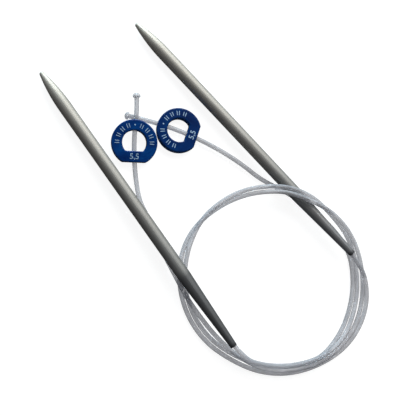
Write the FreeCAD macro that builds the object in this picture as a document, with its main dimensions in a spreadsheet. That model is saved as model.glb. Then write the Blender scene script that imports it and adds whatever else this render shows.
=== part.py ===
import FreeCAD, Part
import math
import os

import Sketcher

# A pair of flexible single-point knitting needles, loosely coiled together.
# Each needle is a rigid metal pin with a nylon cord pressed into its rear end.
# A head moulded on the free end of the cord keeps a D-shaped stopper on it.
# Millimetres, +Z up. The origin is on the table, under the middle of the needles.

SIZES = {
    # rigid pins
    "needle_length": 134.0,
    "needle_diameter": 5.5,
    "point_length": 17.0,
    "nose_radius": 1.0,
    "taper_length": 35.0,
    "rear_diameter": 2.9,
    "bore_depth": 7.0,
    # cords and their heads
    "cord_diameter": 1.9,
    "cord_straight": 6.2,
    "head_diameter": 3.15,
    "head_rim": 0.55,
    "head_height": 1.6,
    # stoppers
    "stopper_diameter": 18.7,
    "stopper_flat": 8.05,
    "opening_diameter": 10.0,
    "opening_flat": 3.5,
    "stopper_thickness": 3.4,
    "stopper_corner": 1.2,
    "stopper_edge": 0.45,
    "stopper_bore": 2.1,
    "bore_sweep": 16.0,
    # where the pins lie
    "tip_a_east": -66.24,
    "tip_a_north": 42.78,
    "heading_a": -54.34,
    "tilt_a": 1.94,
    "tip_b_east": -28.74,
    "tip_b_north": 66.58,
    "heading_b": -45.21,
    "tilt_b": 1.47,
    # the loop that both cords lie in
    "loop_east": 31.8,
    "loop_north": -39.0,
    "loop_step": 20.0,
    # the bend of cord A that its stopper slides along, level
    "slide_a_east": -47.9,
    "slide_a_north": -91.6,
    "slide_a_radius": 120.0,
    "stopper_a_clock": 18.3,
    "stopper_a_height": 1.7,
    # the bend of cord B that its stopper slides along: sideways and upward at once
    "stopper_b_east": -28.8,
    "stopper_b_north": 16.1,
    "stopper_b_height": 2.72,
    "stopper_b_tilt": 6.0,
    "slide_b_sideways": 114.0,
    "slide_b_upward": 150.0,
}

# The cords in the loop: clock angle from +Y, distance from the loop's centre, height.
LOOP_A = [
    (190, 35.6, 4.5), (170, 36.6, 3.0), (150, 38.5, 3.3), (130, 39.8, 2.6), (110, 39.1, 0.95),
    (90, 38.5, 0.95), (65, 38.9, 1.2), (40, 37.0, 4.1), (20, 37.3, 8.8), (0, 38.5, 8.8),
    (335, 39.9, 5.2), (310, 40.5, 3.1), (290, 39.7, 2.7), (270, 39.1, 1.1), (250, 38.4, 0.95),
    (230, 37.3, 0.95), (210, 36.1, 0.95), (190, 36.3, 0.95), (170, 37.5, 0.95), (150, 39.5, 0.95),
    (130, 38.1, 0.95), (110, 36.8, 0.95), (90, 36.3, 0.95), (70, 36.4, 0.95),
]
LOOP_B = [
    (99, 42.7, 2.6), (115, 44.3, 0.95), (132, 43.6, 0.95), (150, 41.6, 0.95), (170, 40.2, 0.95),
    (190, 39.1, 0.95), (210, 38.2, 0.95), (230, 39.4, 0.95), (250, 40.5, 0.95), (270, 41.3, 0.95),
    (290, 41.5, 0.95), (310, 39.8, 0.95), (335, 37.8, 4.2), (0, 36.3, 8.9), (20, 35.1, 9.2),
    (40, 36.6, 7.4), (60, 39.0, 4.2), (80, 40.6, 1.4), (100, 41.4, 0.95), (117, 42.1, 0.95),
    (132, 41.5, 1.5), (150, 40.5, 2.8), (170, 38.7, 2.85), (190, 37.5, 2.8), (210, 35.5, 3.05),
    (230, 34.9, 3.0), (247, 36.2, 3.05), (259, 38.8, 3.1),
]

# The cords between the loop and the stoppers: x, y, z.
LEAD_A = [(57.3, -15.2, 0.95), (46.9, -7.5, 0.95), (36.4, -1.4, 0.95)]
LEAD_B = [(-10.9, -39.0, 2.8), (-15.4, -30.2, 1.3), (-19.3, -21.6, 0.95), (-23.0, -13.4, 1.0)]

# Clock angles of the route's points along each stopper's bend, and cord B's last point.
BEND_A = [(38, 1.0), (33, 1.7), (28, 1.7), (23, 1.7), (18, 1.7), (13, 1.7), (8, 1.6)]
BEND_B = [15, 9, 3, -3, -9]
END_B = (-28.3, 34.7, 4.7)

# An arc takes this share of the shorter run beside its corner.
ARC_SHARE = 0.45

FULL_TURN = 360.0
# An edge that rises less than this lies flat.
LEVEL_TOLERANCE = 1e-6

doc = FreeCAD.newDocument("FlexibleNeedles")


def make_sheet(sizes):
    """Writes the driving dimensions into the sheet, one alias a row."""
    sheet = doc.addObject("Spreadsheet::Sheet", "Sizes")
    for row, (alias, value) in enumerate(sizes.items(), start=1):
        sheet.set("A%d" % row, alias)
        sheet.set("B%d" % row, repr(value))
        sheet.setAlias("B%d" % row, alias)
    doc.recompute()
    return sheet


sheet = make_sheet(SIZES)


def size(alias):
    """Reads one driving dimension from the sheet."""
    return float(sheet.get(alias))


# ---------------------------------------------------------------- sketch helpers


def origin_plane(body, role):
    """Finds one of the body's own origin planes."""
    return next(item for item in body.Origin.OriginFeatures if item.Role == role)


def new_sketch(body, name, role):
    """Makes a sketch on one of the body's origin planes."""
    sketch = body.newObject("Sketcher::SketchObject", name)
    sketch.AttachmentSupport = [(origin_plane(body, role), "")]
    sketch.MapMode = "FlatFace"
    return sketch


def line(start, end):
    """A straight edge of an outline."""
    return Part.LineSegment(FreeCAD.Vector(*start, 0), FreeCAD.Vector(*end, 0))


def arc(centre, radius, start, end):
    """A round edge, counter-clockwise from start to end."""
    angles = [math.atan2(point[1] - centre[1], point[0] - centre[0]) for point in (start, end)]
    circle = Part.Circle(FreeCAD.Vector(*centre, 0), FreeCAD.Vector(0, 0, 1), radius)
    return Part.ArcOfCircle(circle, *angles)


def join_outline(sketch, edges, smooth=()):
    """Adds the edges in order and joins them into one closed outline.

    An arc that the outline follows clockwise is given as (edge, "back").
    The edges whose places are in smooth run on into the next one without a corner.
    Returns the number of the first edge.
    """
    first = sketch.GeometryCount
    ends = []
    for edge in edges:
        backward = isinstance(edge, tuple)
        sketch.addGeometry(edge[0] if backward else edge, False)
        ends.append((2, 1) if backward else (1, 2))
    for place in range(len(edges)):
        following = (place + 1) % len(edges)
        leave = ends[place][1]
        enter = ends[following][0]
        kind = "Tangent" if place in smooth else "Coincident"
        sketch.addConstraint(Sketcher.Constraint(kind, first + place, leave, first + following, enter))
    return first


def drive(sketch, name, kind, places, value, formula):
    """Adds a named dimension and binds it to the sheet."""
    number = sketch.addConstraint(Sketcher.Constraint(kind, *places, value))
    sketch.renameConstraint(number, name)
    sketch.setExpression("Constraints." + name, formula)


def revolve(body, sketch):
    """Turns the sketch once round its horizontal axis."""
    feature = body.newObject("PartDesign::Revolution", "Turned")
    feature.Profile = sketch
    feature.ReferenceAxis = (sketch, ["H_Axis"])
    feature.Angle = FULL_TURN
    sketch.Visibility = False
    doc.recompute()


# ---------------------------------------------------------------- rigid pins


def ogive_radius():
    """Radius of the point's side, which meets both the nose and the shank smoothly."""
    radius = size("needle_diameter") / 2
    nose = size("nose_radius")
    reach = size("point_length") - nose
    return (reach ** 2 + radius ** 2 - nose ** 2) / (2 * (radius - nose))


def make_needle(label, placement):
    """A pin along +X from its nose, with a rounded point, a tapered rear and a blind bore."""
    body = doc.addObject("PartDesign::Body", label)
    sketch = new_sketch(body, label + "_profile", "XZ_Plane")
    length = size("needle_length")
    radius = size("needle_diameter") / 2
    nose = size("nose_radius")
    shoulder = size("point_length")
    crease = length - size("taper_length")
    rear = size("rear_diameter") / 2
    bore = size("cord_diameter") / 2
    floor = length - size("bore_depth")
    side = ogive_radius()
    side_centre = (shoulder, radius - side)
    lean = FreeCAD.Vector(nose - side_centre[0], -side_centre[1], 0).normalize()
    blend = (nose + nose * lean.x, nose * lean.y)
    join_outline(sketch, [
        (arc((nose, 0), nose, blend, (0, 0)), "back"),
        (arc(side_centre, side, (shoulder, radius), blend), "back"),
        line((shoulder, radius), (crease, radius)),
        line((crease, radius), (length, rear)),
        line((length, rear), (length, bore)),
        line((length, bore), (floor, bore)),
        line((floor, bore), (floor, 0)),
        line((floor, 0), (0, 0)),
    ], smooth=(0, 1))
    nose_arc, _, shank, taper, rear_face, bore_wall, bore_floor, axis = range(8)
    sketch.addConstraint(Sketcher.Constraint("Coincident", axis, 2, -1, 1))
    sketch.addConstraint(Sketcher.Constraint("PointOnObject", nose_arc, 3, -1))
    sketch.addConstraint(Sketcher.Constraint("Horizontal", axis))
    sketch.addConstraint(Sketcher.Constraint("Horizontal", shank))
    sketch.addConstraint(Sketcher.Constraint("Horizontal", bore_wall))
    sketch.addConstraint(Sketcher.Constraint("Vertical", rear_face))
    sketch.addConstraint(Sketcher.Constraint("Vertical", bore_floor))
    drive(sketch, "nose", "Radius", [nose_arc], nose, "Sizes.nose_radius")
    drive(sketch, "point", "DistanceX", [-1, 1, shank, 1], shoulder, "Sizes.point_length")
    drive(sketch, "half_width", "DistanceY", [-1, 1, shank, 1], radius, "Sizes.needle_diameter / 2")
    drive(sketch, "length", "DistanceX", [-1, 1, taper, 2], length, "Sizes.needle_length")
    drive(sketch, "taper", "DistanceX", [taper, 1, taper, 2], length - crease, "Sizes.taper_length")
    drive(sketch, "rear", "DistanceY", [-1, 1, taper, 2], rear, "Sizes.rear_diameter / 2")
    drive(sketch, "bore", "DistanceY", [-1, 1, bore_wall, 1], bore, "Sizes.cord_diameter / 2")
    drive(sketch, "depth", "DistanceX", [bore_wall, 2, bore_wall, 1], length - floor, "Sizes.bore_depth")
    revolve(body, sketch)
    body.Placement = placement
    return body


def needle_placement(side):
    """Lays a pin on the side of its point, with its rear raised by the cords under it."""
    heading = math.radians(size("heading_" + side))
    tilt = math.radians(size("tilt_" + side))
    direction = FreeCAD.Vector(
        math.cos(heading) * math.cos(tilt),
        math.sin(heading) * math.cos(tilt),
        math.sin(tilt),
    )
    swell = ogive_radius() - size("needle_diameter") / 2
    shoulder_height = ogive_radius() - swell * math.cos(tilt)
    nose_height = shoulder_height - size("point_length") * math.sin(tilt)
    nose = FreeCAD.Vector(size("tip_%s_east" % side), size("tip_%s_north" % side), nose_height)
    return FreeCAD.Placement(nose, FreeCAD.Rotation(FreeCAD.Vector(1, 0, 0), direction))


def along_needle(side, distance):
    """A point on the pin's axis, this far from its nose."""
    return needle_placement(side).multVec(FreeCAD.Vector(distance, 0, 0))


# ---------------------------------------------------------------- stoppers


def slide_a():
    """Centre of stopper A, the way along its cord, the way to the bend's centre, and the radius."""
    clock = math.radians(size("stopper_a_clock"))
    along = FreeCAD.Vector(math.cos(clock), -math.sin(clock), 0)
    inward = FreeCAD.Vector(-math.sin(clock), -math.cos(clock), 0)
    bend_centre = FreeCAD.Vector(size("slide_a_east"), size("slide_a_north"), size("stopper_a_height"))
    return bend_centre - inward * size("slide_a_radius"), along, inward, size("slide_a_radius")


def slide_b():
    """The same for stopper B, whose cord bends sideways and upward at once."""
    tilt = math.radians(size("stopper_b_tilt"))
    along = FreeCAD.Vector(0, -math.cos(tilt), -math.sin(tilt))
    upward = FreeCAD.Vector(0, -math.sin(tilt), math.cos(tilt))
    sideways = FreeCAD.Vector(1, 0, 0)
    bend = sideways / size("slide_b_sideways") + upward / size("slide_b_upward")
    centre = FreeCAD.Vector(size("stopper_b_east"), size("stopper_b_north"), size("stopper_b_height"))
    return centre, along, bend / bend.Length, 1 / bend.Length


def d_outline(sketch, name, radius, flat, corner, formulas):
    """A circle of this radius cut off by a flat on its +X side, with rounded corners."""
    inner = radius - corner
    rise = math.sqrt(inner ** 2 - (flat - corner) ** 2)
    corner_centre = (flat - corner, rise)
    reach = radius / inner
    meet = (corner_centre[0] * reach, corner_centre[1] * reach)
    low_centre = (corner_centre[0], -rise)
    low_meet = (meet[0], -meet[1])
    first = join_outline(sketch, [
        arc((0, 0), radius, meet, low_meet),
        arc(low_centre, corner, low_meet, (flat, -rise)),
        line((flat, -rise), (flat, rise)),
        arc(corner_centre, corner, (flat, rise), meet),
    ], smooth=(0, 1, 2, 3))
    round_edge, low_corner, flat_edge, high_corner = range(first, first + 4)
    sketch.addConstraint(Sketcher.Constraint("Coincident", round_edge, 3, -1, 1))
    sketch.addConstraint(Sketcher.Constraint("Vertical", flat_edge))
    sketch.addConstraint(Sketcher.Constraint("Equal", low_corner, high_corner))
    drive(sketch, name + "_radius", "Radius", [round_edge], radius, formulas[0])
    drive(sketch, name + "_flat", "DistanceX", [-1, 1, flat_edge, 1], flat, formulas[1])
    drive(sketch, name + "_corner", "Radius", [high_corner], corner, "Sizes.stopper_corner")


def make_stopper(label, slide):
    """A flat D-shaped ring with a bore through its rim that follows the cord's bend."""
    centre, along, inward, bend_radius = slide
    sideways = FreeCAD.Vector(-along.y, along.x, 0).normalize()
    normal = along.cross(sideways)
    body = doc.addObject("PartDesign::Body", label)

    plan = new_sketch(body, label + "_plan", "XY_Plane")
    corner = size("stopper_corner")
    outer = ("Sizes.stopper_diameter / 2", "Sizes.stopper_flat")
    inner = ("Sizes.opening_diameter / 2", "Sizes.opening_flat")
    d_outline(plan, "rim", size("stopper_diameter") / 2, size("stopper_flat"), corner, outer)
    d_outline(plan, "opening", size("opening_diameter") / 2, size("opening_flat"), corner, inner)
    disc = body.newObject("PartDesign::Pad", label + "_disc")
    disc.Profile = plan
    disc.Midplane = True
    disc.setExpression("Length", "Sizes.stopper_thickness")
    doc.recompute()

    rounding = body.newObject("PartDesign::Fillet", label + "_edges")
    level_edges = [
        "Edge%d" % number
        for number, edge in enumerate(disc.Shape.Edges, start=1)
        if edge.BoundBox.ZLength < LEVEL_TOLERANCE
    ]
    rounding.Base = (disc, level_edges)
    rounding.setExpression("Radius", "Sizes.stopper_edge")
    doc.recompute()

    section = new_sketch(body, label + "_bore_section", "YZ_Plane")
    hole = Part.Circle(FreeCAD.Vector(0, 0, 0), FreeCAD.Vector(0, 0, 1), size("stopper_bore") / 2)
    section.addGeometry(hole, False)
    section.addConstraint(Sketcher.Constraint("Coincident", 0, 3, -1, 1))
    drive(section, "bore", "Radius", [0], size("stopper_bore") / 2, "Sizes.stopper_bore / 2")
    pivot = (inward.dot(sideways) * bend_radius, inward.dot(normal) * bend_radius)
    swing = (-inward.dot(normal) * bend_radius, inward.dot(sideways) * bend_radius)
    section.addGeometry(line(pivot, (pivot[0] + swing[0], pivot[1] + swing[1])), True)
    section.addConstraint(Sketcher.Constraint("Block", 1))

    bore = body.newObject("PartDesign::Groove", label + "_bore")
    bore.Profile = section
    bore.ReferenceAxis = (section, ["Axis0"])
    bore.Midplane = True
    bore.setExpression("Angle", "Sizes.bore_sweep")
    doc.recompute()
    if not bore.Shape.Volume < rounding.Shape.Volume:
        raise ValueError("the bore takes nothing from " + label)

    turn = FreeCAD.Matrix(
        along.x, sideways.x, normal.x, centre.x,
        along.y, sideways.y, normal.y, centre.y,
        along.z, sideways.z, normal.z, centre.z,
        0, 0, 0, 1,
    )
    body.Placement = FreeCAD.Placement(turn)
    return body


# ---------------------------------------------------------------- cords


def on_loop(clock, distance, height):
    """A corner of a route in the loop, set outside the round line that it makes."""
    corner = distance / math.cos(math.radians(size("loop_step") / 2))
    angle = math.radians(clock)
    east = size("loop_east") + corner * math.sin(angle)
    north = size("loop_north") + corner * math.cos(angle)
    return FreeCAD.Vector(east, north, height)


def bend_corner(radius, step):
    """Distance of a corner from the centre of the bend, for corners this many degrees apart."""
    return radius / math.cos(math.radians(step / 2))


def route_a():
    """Cord A from the bottom of its bore, round the loop, to its free end."""
    start = along_needle("a", size("needle_length") - size("bore_depth"))
    leave = along_needle("a", size("needle_length") + size("cord_straight"))
    corner = bend_corner(size("slide_a_radius"), BEND_A[2][0] - BEND_A[3][0])
    bend = [
        FreeCAD.Vector(
            size("slide_a_east") + corner * math.sin(math.radians(clock)),
            size("slide_a_north") + corner * math.cos(math.radians(clock)),
            height,
        )
        for clock, height in BEND_A
    ]
    loop = [on_loop(*place) for place in LOOP_A]
    return [start, leave] + loop + [FreeCAD.Vector(*point) for point in LEAD_A] + bend


def route_b():
    """Cord B from the bottom of its bore, round the loop, to its free end."""
    start = along_needle("b", size("needle_length") - size("bore_depth"))
    leave = along_needle("b", size("needle_length") + size("cord_straight"))
    centre, along, inward, radius = slide_b()
    corner = bend_corner(radius, BEND_B[0] - BEND_B[1])
    bend_centre = centre + inward * radius
    bend = []
    for clock in BEND_B:
        angle = math.radians(clock)
        bend.append(bend_centre - inward * (corner * math.cos(angle)) + along * (corner * math.sin(angle)))
    loop = [on_loop(*place) for place in LOOP_B]
    lead = [FreeCAD.Vector(*point) for point in LEAD_B]
    return [start, leave] + loop + lead + bend + [FreeCAD.Vector(*END_B)]


def rounded_path(points):
    """Straight runs joined by tangent arcs. Returns the wire and the arcs' radii."""
    edges = []
    radii = []
    last = points[0]
    for before, corner, after in zip(points, points[1:], points[2:]):
        arriving = corner - before
        leaving = after - corner
        cut = ARC_SHARE * min(arriving.Length, leaving.Length)
        half_turn = arriving.getAngle(leaving) / 2
        start = corner - arriving * (cut / arriving.Length)
        end = corner + leaving * (cut / leaving.Length)
        radius = cut / math.tan(half_turn)
        inside = (leaving / leaving.Length - arriving / arriving.Length).normalize()
        middle = corner + inside * (radius / math.cos(half_turn) - radius)
        edges.append(Part.LineSegment(last, start).toShape())
        edges.append(Part.Arc(start, middle, end).toShape())
        radii.append(radius)
        last = end
    edges.append(Part.LineSegment(last, points[-1]).toShape())
    return Part.Wire(edges), radii


def make_cord(label, points):
    """A round cord along the route."""
    path, radii = rounded_path(points)
    circle = Part.Circle(points[0], points[1] - points[0], size("cord_diameter") / 2)
    tube = path.makePipeShell([Part.Wire([circle.toShape()])], True, False)
    feature = doc.addObject("Part::Feature", label)
    feature.Shape = tube
    expected = math.pi * (size("cord_diameter") / 2) ** 2 * path.Length
    print("%s: length %.1f, volume %.1f of %.1f" % (label, path.Length, tube.Volume, expected))
    print("  arc radii: " + " ".join("%.0f" % radius for radius in radii))
    return feature


def make_head(label, points):
    """A domed head moulded on the end of the cord, wider than the stopper's bore."""
    body = doc.addObject("PartDesign::Body", label)
    sketch = new_sketch(body, label + "_profile", "XZ_Plane")
    radius = size("head_diameter") / 2
    rim = size("head_rim")
    height = size("head_height")
    dome = (radius ** 2 + (height - rim) ** 2) / (2 * (height - rim))
    join_outline(sketch, [
        line((0, 0), (0, radius)),
        line((0, radius), (rim, radius)),
        (arc((height - dome, 0), dome, (height, 0), (rim, radius)), "back"),
        line((height, 0), (0, 0)),
    ])
    underside, edge, top, axis = range(4)
    sketch.addConstraint(Sketcher.Constraint("Coincident", underside, 1, -1, 1))
    sketch.addConstraint(Sketcher.Constraint("Vertical", underside))
    sketch.addConstraint(Sketcher.Constraint("Horizontal", edge))
    sketch.addConstraint(Sketcher.Constraint("Horizontal", axis))
    sketch.addConstraint(Sketcher.Constraint("PointOnObject", top, 3, -1))
    drive(sketch, "radius", "DistanceY", [-1, 1, edge, 1], radius, "Sizes.head_diameter / 2")
    drive(sketch, "rim", "DistanceX", [edge, 1, edge, 2], rim, "Sizes.head_rim")
    drive(sketch, "height", "DistanceX", [-1, 1, axis, 1], height, "Sizes.head_height")
    revolve(body, sketch)
    outward = points[-1] - points[-2]
    body.Placement = FreeCAD.Placement(points[-1], FreeCAD.Rotation(FreeCAD.Vector(1, 0, 0), outward))
    return body


# ---------------------------------------------------------------- assembly

points_a = route_a()
points_b = route_b()

parts = [
    make_needle("needle_a", needle_placement("a")),
    make_needle("needle_b", needle_placement("b")),
    make_cord("cord_a", points_a),
    make_cord("cord_b", points_b),
    make_head("cord_head_a", points_a),
    make_head("cord_head_b", points_b),
    make_stopper("stopper_a", slide_a()),
    make_stopper("stopper_b", slide_b()),
]

doc.recompute()

for item in doc.Objects:
    if "Invalid" in item.State or "Error" in item.State:
        raise ValueError("%s is %s" % (item.Name, item.State))
for part in parts:
    if part.Shape.isNull() or not part.Shape.isValid():
        raise ValueError(part.Label + " has no valid shape")

os.makedirs("parts", exist_ok=True)
for part in parts:
    part.Shape.exportStep(os.path.join("parts", part.Label + ".step"))
    box = part.Shape.BoundBox
    print("%-12s volume %8.1f  x %.2f %.2f  y %.2f %.2f  z %.2f %.2f" % (
        part.Label, part.Shape.Volume, box.XMin, box.XMax, box.YMin, box.YMax, box.ZMin, box.ZMax))
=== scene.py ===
"""Looks of a pair of flexible single-point knitting needles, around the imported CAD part.

Metres, in the CAD part's own frame: +Z up, the origin on the table.
"""
import math

import bpy
from mathutils import Matrix, Vector


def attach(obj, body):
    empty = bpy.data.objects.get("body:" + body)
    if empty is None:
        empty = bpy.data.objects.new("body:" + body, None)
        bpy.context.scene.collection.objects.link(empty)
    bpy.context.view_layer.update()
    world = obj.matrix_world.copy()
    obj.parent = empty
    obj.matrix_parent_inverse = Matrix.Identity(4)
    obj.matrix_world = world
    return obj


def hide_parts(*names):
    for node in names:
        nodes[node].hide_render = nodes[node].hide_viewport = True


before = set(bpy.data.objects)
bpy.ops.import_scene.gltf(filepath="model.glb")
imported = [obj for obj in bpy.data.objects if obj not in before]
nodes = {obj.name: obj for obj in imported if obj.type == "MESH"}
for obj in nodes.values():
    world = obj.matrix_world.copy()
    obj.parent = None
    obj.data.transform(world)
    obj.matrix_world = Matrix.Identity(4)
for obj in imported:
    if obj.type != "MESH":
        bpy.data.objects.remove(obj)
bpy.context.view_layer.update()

# ---------------------------------------------------------------- sizes shared with the CAD part

NEEDLE_LENGTH = 0.134
NEEDLE_RADIUS = 0.00275
POINT_LENGTH = 0.017
NOSE_RADIUS = 0.001
TAPER_START = 0.099
BORE_DEPTH = 0.007
CORD_DIAMETER = 0.0019
CORD_STRAIGHT = 0.0062
STOPPER_THICKNESS = 0.0034
STOPPER_FLAT = 0.00805
OPENING_FLAT = 0.0035

# Where each needle's point lies, which way the needle runs on the table, and how it is raised.
NEEDLES = {
    "a": {"tip": (-0.06624, 0.04278), "heading": -54.34, "tilt": 1.94},
    "b": {"tip": (-0.02874, 0.06658), "heading": -45.21, "tilt": 1.47},
}

LOOP_CENTRE = Vector((0.0318, -0.0390, 0))
LOOP_STEP = 20.0

# The cords in the loop: clock angle from +Y, distance from the loop's centre, height.
LOOP_A = [
    (190, 0.0356, 0.0045), (170, 0.0366, 0.0030), (150, 0.0385, 0.0033), (130, 0.0398, 0.0026),
    (110, 0.0391, 0.00095), (90, 0.0385, 0.00095), (65, 0.0389, 0.0012), (40, 0.0370, 0.0041),
    (20, 0.0373, 0.0088), (0, 0.0385, 0.0088), (335, 0.0399, 0.0052), (310, 0.0405, 0.0031),
    (290, 0.0397, 0.0027), (270, 0.0391, 0.0011), (250, 0.0384, 0.00095), (230, 0.0373, 0.00095),
    (210, 0.0361, 0.00095), (190, 0.0363, 0.00095), (170, 0.0375, 0.00095), (150, 0.0395, 0.00095),
    (130, 0.0381, 0.00095), (110, 0.0368, 0.00095), (90, 0.0363, 0.00095), (70, 0.0364, 0.00095),
]
LOOP_B = [
    (99, 0.0427, 0.0026), (115, 0.0443, 0.00095), (132, 0.0436, 0.00095), (150, 0.0416, 0.00095),
    (170, 0.0402, 0.00095), (190, 0.0391, 0.00095), (210, 0.0382, 0.00095), (230, 0.0394, 0.00095),
    (250, 0.0405, 0.00095), (270, 0.0413, 0.00095), (290, 0.0415, 0.00095), (310, 0.0398, 0.00095),
    (335, 0.0378, 0.0042), (0, 0.0363, 0.0089), (20, 0.0351, 0.0092), (40, 0.0366, 0.0074),
    (60, 0.0390, 0.0042), (80, 0.0406, 0.0014), (100, 0.0414, 0.00095), (117, 0.0421, 0.00095),
    (132, 0.0415, 0.0015), (150, 0.0405, 0.0028), (170, 0.0387, 0.00285), (190, 0.0375, 0.0028),
    (210, 0.0355, 0.00305), (230, 0.0349, 0.0030), (247, 0.0362, 0.00305), (259, 0.0388, 0.0031),
]

# The cords between the loop and the stoppers: x, y, z.
LEAD_A = [(0.0573, -0.0152, 0.00095), (0.0469, -0.0075, 0.00095), (0.0364, -0.0014, 0.00095)]
LEAD_B = [
    (-0.0109, -0.0390, 0.0028), (-0.0154, -0.0302, 0.0013),
    (-0.0193, -0.0216, 0.00095), (-0.0230, -0.0134, 0.0010),
]

# The bend of cord A under its stopper: clock angle and height. The bend of cord B: clock angle.
SLIDE_A_CENTRE = Vector((-0.0479, -0.0916, 0))
SLIDE_A_RADIUS = 0.120
BEND_A = [(38, 0.0010), (33, 0.0017), (28, 0.0017), (23, 0.0017), (18, 0.0017), (13, 0.0017), (8, 0.0016)]
BEND_A_STEP = 5.0
BEND_B = [15, 9, 3, -3, -9]
BEND_B_STEP = 6.0
END_B = Vector((-0.0283, 0.0347, 0.0047))

STOPPER_A_CLOCK = math.radians(18.3)
STOPPER_A_HEIGHT = 0.0017
STOPPER_B_CENTRE = Vector((-0.0288, 0.0161, 0.00272))
STOPPER_B_TILT = math.radians(6.0)
SLIDE_B_SIDEWAYS = 0.114
SLIDE_B_UPWARD = 0.150

# ---------------------------------------------------------------- sizes of the raised marks

# How far a mark stands above the stopper's face and how deep its foot is sunk into it.
MARK_HEIGHT = 0.00007
MARK_SINK = 0.00005
MARK_TOP_SHARE = 0.9
MARK_BAND_RADIUS = 0.0071
MARK_LENGTH = 0.0020
MARK_WIDTH = 0.00034
MARK_PAIR_GAP = 0.00095
MARK_STEP = 22.5
MARKS_EACH_SIDE = 4
MARK_END_STEPS = 6
DOT_DIAMETER = 2 * MARK_WIDTH
# The straight run of a bar that is nearly round, so that its corners stay apart.
SHORTEST_RUN = 1e-6
DIGIT_SIZE = 0.0032
DIGIT_FATTENING = 0.00003


# ---------------------------------------------------------------- places


def needle_axis(side):
    """The nose of a needle and the direction from it to the cord, as in the CAD part."""
    place = NEEDLES[side]
    heading = math.radians(place["heading"])
    tilt = math.radians(place["tilt"])
    reach = POINT_LENGTH - NOSE_RADIUS
    ogive = (reach ** 2 + NEEDLE_RADIUS ** 2 - NOSE_RADIUS ** 2) / (2 * (NEEDLE_RADIUS - NOSE_RADIUS))
    shoulder_height = ogive - (ogive - NEEDLE_RADIUS) * math.cos(tilt)
    nose = Vector((*place["tip"], shoulder_height - POINT_LENGTH * math.sin(tilt)))
    direction = Vector((
        math.cos(heading) * math.cos(tilt),
        math.sin(heading) * math.cos(tilt),
        math.sin(tilt),
    ))
    return nose, direction


def along_needle(side, distance):
    """A point on a needle's axis, this far from its nose."""
    nose, direction = needle_axis(side)
    return nose + direction * distance


def clock_point(centre, distance, clock, height, step):
    """A corner of a route round a centre, set outside the round line that it makes."""
    corner = distance / math.cos(math.radians(step / 2))
    angle = math.radians(clock)
    return Vector((centre.x + corner * math.sin(angle), centre.y + corner * math.cos(angle), height))


def stopper_a_axes():
    """Centre of stopper A, the way its flat side faces, the way beside it and its upper side."""
    along = Vector((math.cos(STOPPER_A_CLOCK), -math.sin(STOPPER_A_CLOCK), 0))
    sideways = Vector((math.sin(STOPPER_A_CLOCK), math.cos(STOPPER_A_CLOCK), 0))
    centre = SLIDE_A_CENTRE + sideways * SLIDE_A_RADIUS + Vector((0, 0, STOPPER_A_HEIGHT))
    return centre, along, sideways, Vector((0, 0, 1))


def stopper_b_axes():
    """The same for stopper B, which leans on the bend of its cord."""
    along = Vector((0, -math.cos(STOPPER_B_TILT), -math.sin(STOPPER_B_TILT)))
    upward = Vector((0, -math.sin(STOPPER_B_TILT), math.cos(STOPPER_B_TILT)))
    return STOPPER_B_CENTRE, along, Vector((1, 0, 0)), upward


def route_start(side):
    """The first two points of a cord's route: the bottom of its bore, and past the needle's end."""
    return [
        along_needle(side, NEEDLE_LENGTH - BORE_DEPTH),
        along_needle(side, NEEDLE_LENGTH + CORD_STRAIGHT),
    ]


def route_a():
    """Cord A from its bore, round the loop, through its stopper to its head."""
    loop = [clock_point(LOOP_CENTRE, distance, clock, height, LOOP_STEP)
            for clock, distance, height in LOOP_A]
    bend = [clock_point(SLIDE_A_CENTRE, SLIDE_A_RADIUS, clock, height, BEND_A_STEP)
            for clock, height in BEND_A]
    return route_start("a") + loop + [Vector(point) for point in LEAD_A] + bend


def route_b():
    """Cord B from its bore, round the loop, through its stopper to its head."""
    loop = [clock_point(LOOP_CENTRE, distance, clock, height, LOOP_STEP)
            for clock, distance, height in LOOP_B]
    centre, along, sideways, upward = stopper_b_axes()
    curving = sideways / SLIDE_B_SIDEWAYS + upward / SLIDE_B_UPWARD
    inward = curving.normalized()
    radius = 1 / curving.length
    corner = radius / math.cos(math.radians(BEND_B_STEP / 2))
    bend_centre = centre + inward * radius
    bend = [
        bend_centre - inward * (corner * math.cos(math.radians(clock)))
        + along * (corner * math.sin(math.radians(clock)))
        for clock in BEND_B
    ]
    lead = [Vector(point) for point in LEAD_B]
    return route_start("b") + loop + lead + bend + [END_B]


# ---------------------------------------------------------------- material helpers

# Places of a colour mix among the sockets of a Mix node.
MIX_FACTOR = 0
MIX_FIRST = 6
MIX_SECOND = 7
MIX_RESULT = 2


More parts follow.
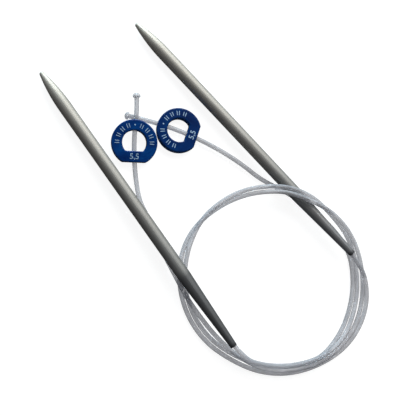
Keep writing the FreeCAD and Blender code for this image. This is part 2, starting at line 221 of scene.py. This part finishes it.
class Shading:
    """A material with its nodes and its Principled shader at hand."""

    def __init__(self, name):
        self.material = bpy.data.materials.new(name)
        self.material.use_nodes = True
        self.tree = self.material.node_tree
        self.shader = self.tree.nodes["Principled BSDF"]

    def node(self, kind, **settings):
        """Adds a node. Settings that name an input set its value, the others are attributes."""
        made = self.tree.nodes.new("ShaderNode" + kind)
        for name, value in settings.items():
            label = name.replace("_", " ").title()
            if label in made.inputs:
                made.inputs[label].default_value = value
            else:
                setattr(made, name, value)
        return made

    def link(self, source, target):
        self.tree.links.new(source, target)

    def set(self, **values):
        """Sets values on the Principled shader's own sockets."""
        for name, value in values.items():
            self.shader.inputs[name.replace("_", " ")].default_value = value

    def ramp(self, source, stops):
        """A colour ramp: stops are (place, colour)."""
        made = self.node("ValToRGB")
        elements = made.color_ramp.elements
        while len(elements) < len(stops):
            elements.new(1)
        for element, (place, colour) in zip(elements, stops):
            element.position = place
            element.color = (*colour, 1)
        self.link(source, made.inputs["Fac"])
        return made.outputs["Color"]

    def spread(self, source, low, high):
        """Turns a value from 0 to 1 into one from low to high."""
        made = self.node("MapRange")
        made.inputs["To Min"].default_value = low
        made.inputs["To Max"].default_value = high
        self.link(source, made.inputs["Value"])
        return made.outputs["Result"]

    def mix(self, factor, first, second, kind="MIX"):
        """Mixes two colours. The factor and the colours are values or outputs of other nodes."""
        made = self.node("Mix", data_type="RGBA", blend_type=kind)
        for socket, value in ((MIX_FACTOR, factor), (MIX_FIRST, first), (MIX_SECOND, second)):
            target = made.inputs[socket]
            if isinstance(value, bpy.types.NodeSocket):
                self.link(value, target)
            else:
                target.default_value = value
        return made.outputs[MIX_RESULT]

    def bump(self, source, distance, strength):
        made = self.node("Bump", strength=strength, distance=distance)
        self.link(source, made.inputs["Height"])
        self.link(made.outputs["Normal"], self.shader.inputs["Normal"])


# Painted shade on each needle's rear taper: how pale its metal is painted there, darker on needle A than
# on needle B.
REAR_PAINTED_SHADES = {"a": 0.19, "b": 0.37}
# How many specks of rubbing there are a metre, along and across a needle.
RUBBING_SCALE = (90, 2600, 2600)


def satin_metal(side):
    """Blasted and anodised aluminium: fine grain, faint lengthwise rubbing; a painted highlight on the
    point, painted shade on the rear taper and on the rear end.
    """
    shading = Shading("satin_metal_" + side)
    nose, direction = needle_axis(side)
    turn = direction.rotation_difference(Vector((1, 0, 0))).to_matrix()
    place = shading.node("TexCoord").outputs["Object"]
    local = shading.node("Mapping", vector_type="POINT")
    local.inputs["Rotation"].default_value = turn.to_euler("XYZ")
    local.inputs["Location"].default_value = -(turn @ nose)
    shading.link(place, local.inputs["Vector"])

    stretch = shading.node("Mapping")
    stretch.inputs["Scale"].default_value = RUBBING_SCALE
    shading.link(local.outputs["Vector"], stretch.inputs["Vector"])
    rubbing = shading.node("TexNoise", scale=1.0, detail=3.0, roughness=0.6)
    shading.link(stretch.outputs["Vector"], rubbing.inputs["Vector"])

    grain = shading.node("TexNoise", scale=5200.0, detail=2.0, roughness=0.7)
    shading.link(local.outputs["Vector"], grain.inputs["Vector"])

    distance = shading.node("SeparateXYZ")
    shading.link(local.outputs["Vector"], distance.inputs["Vector"])
    run = shading.node("MapRange")
    run.inputs["From Min"].default_value = 0
    run.inputs["From Max"].default_value = NEEDLE_LENGTH
    shading.link(distance.outputs["X"], run.inputs["Value"])
    taper = TAPER_START / NEEDLE_LENGTH
    rear = REAR_PAINTED_SHADES[side]
    # Colour along the needle: a painted highlight on the point, the metal's own grey on the body, painted
    # shade on the rear taper and a darker painted shade on the rear end.
    base = shading.ramp(run.outputs["Result"], [
        (0.0, (0.67, 0.61, 0.53)),
        (0.11, (0.48, 0.445, 0.395)),
        (taper - 0.02, (0.335, 0.33, 0.315)),
        (taper + 0.006, (rear, rear, rear)),
        (0.985, (0.85 * rear, 0.86 * rear, 0.88 * rear)),
        (1.0, (0.05, 0.05, 0.055)),
    ])
    colour = shading.mix(0.35, base, rubbing.outputs["Fac"], kind="MULTIPLY")
    shading.link(colour, shading.shader.inputs["Base Color"])
    shading.set(Metallic=0.85)
    roughness = shading.spread(rubbing.outputs["Fac"], low=0.56, high=0.70)
    shading.link(roughness, shading.shader.inputs["Roughness"])
    shading.bump(grain.outputs["Fac"], distance=0.00002, strength=0.12)
    return shading.material


# How often the nylon's fine lines change along a cord and round it.
NYLON_LINES_SCALE = (30, 9, 9)


def clear_nylon(name, around):
    """Translucent monofilament: bluish grey, a little cloudy, drawn in fine lines lengthwise.

    around is the kind of coordinates that run along and round the piece.
    """
    shading = Shading(name)
    place = shading.node("TexCoord")
    cloud = shading.node("TexNoise", scale=220.0, detail=4.0, roughness=0.6)
    shading.link(place.outputs["Object"], cloud.inputs["Vector"])
    stretch = shading.node("Mapping")
    stretch.inputs["Scale"].default_value = NYLON_LINES_SCALE
    shading.link(place.outputs[around], stretch.inputs["Vector"])
    lines = shading.node("TexNoise", scale=1.0, detail=3.0, roughness=0.6)
    shading.link(stretch.outputs["Vector"], lines.inputs["Vector"])
    colour = shading.ramp(cloud.outputs["Fac"], [
        (0.30, (0.42, 0.425, 0.45)),
        (0.70, (0.54, 0.545, 0.57)),
    ])
    streaked = shading.mix(0.35, colour, lines.outputs["Fac"], kind="OVERLAY")
    shading.link(streaked, shading.shader.inputs["Base Color"])
    roughness = shading.spread(lines.outputs["Fac"], low=0.10, high=0.20)
    shading.link(roughness, shading.shader.inputs["Roughness"])
    shading.set(Transmission_Weight=0.45, IOR=1.22, Specular_IOR_Level=0.4, Alpha=0.82)
    return shading.material


# Painted light and shade on the stoppers' blue: the same plastic is painted darker on stopper A and paler
# on stopper B.
STOPPER_PAINTED_LIGHTING = {"a": 0.80, "b": 1.18}
# Painted light: the paler blue painted on the stoppers' walls and round edges.
WALL_PAINTED_LIGHT_BLUE = (0.001, 0.055, 0.21, 1)


def blue_plastic(side):
    """Moulded plastic: navy blue with faint flow marks, with painted light in a paler blue on its walls
    and round edges.
    """
    shading = Shading("blue_plastic_" + side)
    stopper_lighting = STOPPER_PAINTED_LIGHTING[side]
    coordinates = shading.node("TexCoord")
    place = coordinates.outputs["Object"]
    flow = shading.node("TexNoise", scale=180.0, detail=4.0, roughness=0.6, distortion=0.6)
    shading.link(place, flow.inputs["Vector"])
    colour = shading.ramp(flow.outputs["Fac"], [
        (0.30, (0.0001, 0.013 * stopper_lighting, 0.080 * stopper_lighting)),
        (0.55, (0.0002, 0.025 * stopper_lighting, 0.130 * stopper_lighting)),
        (0.78, (0.0006, 0.046 * stopper_lighting, 0.185 * stopper_lighting)),
    ])
    # Painted light: the more a face turns away from straight up, as the walls and round edges do, the
    # more of the paler wall blue it gets.
    facing = shading.node("SeparateXYZ")
    shading.link(coordinates.outputs["Normal"], facing.inputs["Vector"])
    level = shading.node("Math", operation="ABSOLUTE")
    shading.link(facing.outputs["Z"], level.inputs[0])
    whole = shading.mix(level.outputs[0], WALL_PAINTED_LIGHT_BLUE, colour)
    shading.link(whole, shading.shader.inputs["Base Color"])
    grain = shading.node("TexNoise", scale=3200.0, detail=3.0, roughness=0.65)
    shading.link(place, grain.inputs["Vector"])
    roughness = shading.spread(grain.outputs["Fac"], low=0.14, high=0.26)
    shading.link(roughness, shading.shader.inputs["Roughness"])
    shading.bump(grain.outputs["Fac"], distance=0.00003, strength=0.20)
    shading.set(Specular_IOR_Level=0.14, Coat_Weight=0.03, Coat_Roughness=0.12)
    return shading.material


def mark_paint():
    """The pale raised marks, a little rubbed."""
    shading = Shading("pale_marks")
    place = shading.node("TexCoord").outputs["Object"]
    wear = shading.node("TexNoise", scale=2400.0, detail=4.0, roughness=0.7)
    shading.link(place, wear.inputs["Vector"])
    colour = shading.ramp(wear.outputs["Fac"], [
        (0.32, (0.10, 0.20, 0.36)),
        (0.58, (0.32, 0.45, 0.58)),
    ])
    shading.link(colour, shading.shader.inputs["Base Color"])
    shading.set(Roughness=0.5)
    shading.bump(wear.outputs["Fac"], distance=0.00002, strength=0.3)
    return shading.material


def paint(obj, material):
    """Gives the whole object this one material."""
    obj.data.materials.clear()
    obj.data.materials.append(material)


# ---------------------------------------------------------------- pieces


def make_cord(side, points, material):
    """One cord as a smooth curve, in place of its CAD tube."""
    curve = bpy.data.curves.new("nylon_cord_" + side, "CURVE")
    curve.dimensions = "3D"
    curve.resolution_u = 10
    curve.bevel_depth = CORD_DIAMETER / 2
    curve.bevel_resolution = 6
    curve.use_fill_caps = True
    spline = curve.splines.new("NURBS")
    spline.points.add(len(points) - 1)
    for control, point in zip(spline.points, points):
        control.co = (*point, 1)
    spline.order_u = 3
    spline.use_endpoint_u = True
    cord = bpy.data.objects.new("nylon_cord_" + side, curve)
    bpy.context.collection.objects.link(cord)
    curve.materials.append(material)
    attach(cord, "needles")
    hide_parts("cord_" + side)


def stadium(length, width):
    """Outline of a bar with round ends, lying along +X, counter-clockwise."""
    half = (length - width) / 2
    outline = []
    for end, first in ((1, -90), (-1, 90)):
        for step in range(MARK_END_STEPS + 1):
            angle = math.radians(first + 180 * step / MARK_END_STEPS)
            outline.append((end * half + width / 2 * math.cos(angle), width / 2 * math.sin(angle)))
    return outline


def raised_bars(name, bars, axes):
    """One mesh of raised bars on a stopper's upper face: bars are (outline, x, y, turn)."""
    centre, along, sideways, normal = axes
    floor = STOPPER_THICKNESS / 2 - MARK_SINK
    top = STOPPER_THICKNESS / 2 + MARK_HEIGHT
    verts = []
    faces = []
    for outline, x, y, turn in bars:
        first = len(verts)
        count = len(outline)
        for height, shrink in ((floor, 1.0), (top, MARK_TOP_SHARE)):
            for px, py in outline:
                local_x = x + shrink * (px * math.cos(turn) - py * math.sin(turn))
                local_y = y + shrink * (px * math.sin(turn) + py * math.cos(turn))
                verts.append(centre + along * local_x + sideways * local_y + normal * height)
        faces.append(tuple(first + count + place for place in range(count)))
        faces.append(tuple(first + place for place in reversed(range(count))))
        for place in range(count):
            foot = first + place
            next_foot = first + (place + 1) % count
            faces.append((foot, next_foot, next_foot + count, foot + count))
    mesh = bpy.data.meshes.new(name)
    mesh.from_pydata(verts, [], faces)
    mesh.update()
    obj = bpy.data.objects.new(name, mesh)
    bpy.context.collection.objects.link(obj)
    return obj


def band_marks():
    """Pairs of radial bars round the rim opposite the flat side, with one dot in the middle."""
    bars = [(stadium(DOT_DIAMETER, DOT_DIAMETER - SHORTEST_RUN), -MARK_BAND_RADIUS, 0, 0)]
    bar = stadium(MARK_LENGTH, MARK_WIDTH)
    for place in range(-MARKS_EACH_SIDE, MARKS_EACH_SIDE + 1):
        if place == 0:
            continue
        for shift in (-MARK_PAIR_GAP / 2, MARK_PAIR_GAP / 2):
            turn = math.radians(180 + place * MARK_STEP) + shift / MARK_BAND_RADIUS
            x = MARK_BAND_RADIUS * math.cos(turn)
            y = MARK_BAND_RADIUS * math.sin(turn)
            bars.append((bar, x, y, turn))
    return bars


def size_number(name, axes):
    """The size in millimetres, raised on the flat side's bar, with its foot to the outside."""
    centre, along, sideways, normal = axes
    text = bpy.data.curves.new(name, "FONT")
    text.body = "5,5"
    text.size = DIGIT_SIZE
    text.align_x = "CENTER"
    text.align_y = "CENTER"
    text.extrude = (MARK_HEIGHT + MARK_SINK) / 2
    text.offset = DIGIT_FATTENING
    text.resolution_u = 4
    maker = bpy.data.objects.new(name + "_outline", text)
    bpy.context.collection.objects.link(maker)
    bpy.context.view_layer.update()
    mesh = bpy.data.meshes.new_from_object(maker)
    mesh.name = name
    bpy.data.objects.remove(maker)
    middle = (STOPPER_FLAT + OPENING_FLAT) / 2
    height = STOPPER_THICKNESS / 2 + (MARK_HEIGHT - MARK_SINK) / 2
    spot = centre + along * middle + normal * height
    place = Matrix((sideways, -along, normal)).transposed().to_4x4()
    place.translation = spot
    mesh.transform(place)
    obj = bpy.data.objects.new(name, mesh)
    bpy.context.collection.objects.link(obj)
    return obj


def dress_stopper(side, axes, plastic, marks):
    """The moulded plastic and the raised marks of one stopper."""
    body = "stopper_" + side
    paint(nodes[body], plastic)
    band = raised_bars(body + "_band_marks", band_marks(), axes)
    number = size_number(body + "_number", axes)
    for obj in (band, number):
        paint(obj, marks)
        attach(obj, body)


# ---------------------------------------------------------------- studio

WATCHED = Vector((0.0028, -0.0096, 0))
CAMERA_DISTANCE = 0.245
CAMERA_TILT = math.radians(15)
CAMERA_SIDE = Vector((0.92, 0.38, 0)).normalized()
CAMERA_LENS = 50.46
SENSOR_WIDTH = 36
CLIP_NEAR = 0.005
CLIP_FAR = 20
TABLE_HALF = 3.0
TABLE_GLOW = 0.90


def aimed(obj, place, target, up):
    """Puts obj at place, looking at target, with up as its upper side."""
    back = (place - target).normalized()
    across = up.cross(back).normalized()
    rotation = Matrix((across, back.cross(across), back)).transposed().to_4x4()
    obj.matrix_world = Matrix.Translation(place) @ rotation


def make_camera():
    """The photograph's viewing angle: from above, leaning a little to the lower left."""
    camera = bpy.data.cameras.new("camera")
    camera.lens = CAMERA_LENS
    camera.sensor_width = SENSOR_WIDTH
    camera.clip_start = CLIP_NEAR
    camera.clip_end = CLIP_FAR
    obj = bpy.data.objects.new("camera", camera)
    bpy.context.collection.objects.link(obj)
    back = -CAMERA_SIDE * math.sin(CAMERA_TILT) + Vector((0, 0, math.cos(CAMERA_TILT)))
    aimed(obj, WATCHED + back * CAMERA_DISTANCE, WATCHED, Vector((0, 1, 0)))
    bpy.context.scene.camera = obj


def make_light(name, place, width, length, power, colour):
    """A soft rectangular light aimed at the object."""
    light = bpy.data.lights.new(name, "AREA")
    light.shape = "RECTANGLE"
    light.size = width
    light.size_y = length
    light.energy = power
    light.color = colour
    obj = bpy.data.objects.new(name, light)
    bpy.context.collection.objects.link(obj)
    aimed(obj, Vector(place), WATCHED, Vector((0, 0.01, 1)))


def bright_to_the_eye(tree, seen, unseen):
    """A colour that is pale to the eye, also through the nylon, and darker in reflections."""
    path = tree.nodes.new("ShaderNodeLightPath")
    either = tree.nodes.new("ShaderNodeMath")
    either.operation = "MAXIMUM"
    tree.links.new(path.outputs["Is Camera Ray"], either.inputs[0])
    tree.links.new(path.outputs["Transmission Depth"], either.inputs[1])
    mix = tree.nodes.new("ShaderNodeMix")
    mix.data_type = "RGBA"
    tree.links.new(either.outputs[0], mix.inputs[MIX_FACTOR])
    mix.inputs[MIX_FIRST].default_value = (*unseen, 1)
    mix.inputs[MIX_SECOND].default_value = (*seen, 1)
    return mix.outputs[MIX_RESULT]


def make_floor():
    """A plain pale table."""
    mesh = bpy.data.meshes.new("table")
    corners = [(x * TABLE_HALF, y * TABLE_HALF, 0) for x, y in ((-1, -1), (1, -1), (1, 1), (-1, 1))]
    mesh.from_pydata(corners, [], [(0, 1, 2, 3)])
    table = bpy.data.objects.new("table", mesh)
    bpy.context.collection.objects.link(table)
    material = bpy.data.materials.new("pale_table")
    material.use_nodes = True
    tree = material.node_tree
    shader = tree.nodes["Principled BSDF"]
    colour = bright_to_the_eye(tree, seen=(0.24, 0.24, 0.24), unseen=(0.14, 0.14, 0.14))
    tree.links.new(colour, shader.inputs["Base Color"])
    glow = bright_to_the_eye(tree, seen=(1, 1, 1), unseen=(0, 0, 0))
    tree.links.new(glow, shader.inputs["Emission Color"])
    shader.inputs["Emission Strength"].default_value = TABLE_GLOW
    shader.inputs["Roughness"].default_value = 0.9
    shader.inputs["Specular IOR Level"].default_value = 0.1
    mesh.materials.append(material)


def make_world():
    """Soft room light, pale behind the object."""
    world = bpy.data.worlds.new("studio")
    world.use_nodes = True
    bpy.context.scene.world = world
    tree = world.node_tree
    colour = bright_to_the_eye(tree, seen=(1, 1, 1), unseen=(0.15, 0.155, 0.165))
    tree.links.new(colour, tree.nodes["Background"].inputs["Color"])
    tree.nodes["Background"].inputs["Strength"].default_value = 1.0


make_camera()
nylon = clear_nylon("drawn_nylon", "UV")
head_nylon = clear_nylon("moulded_nylon", "Object")
make_cord("a", route_a(), nylon)
make_cord("b", route_b(), nylon)
for side in "ab":
    paint(nodes["cord_head_" + side], head_nylon)
    paint(nodes["needle_" + side], satin_metal(side))
marks = mark_paint()
dress_stopper("a", stopper_a_axes(), blue_plastic("a"), marks)
dress_stopper("b", stopper_b_axes(), blue_plastic("b"), marks)

make_floor()
make_world()
make_light("key", place=(0.17, 0.33, 0.30), width=0.44, length=0.40, power=2.6,
           colour=(1.0, 0.985, 0.96))
make_light("window", place=(-0.10, 0.50, 0.13), width=0.50, length=0.12, power=3.4,
           colour=(0.60, 0.86, 1.0))
bpy.context.scene.view_settings.view_transform = "Standard"
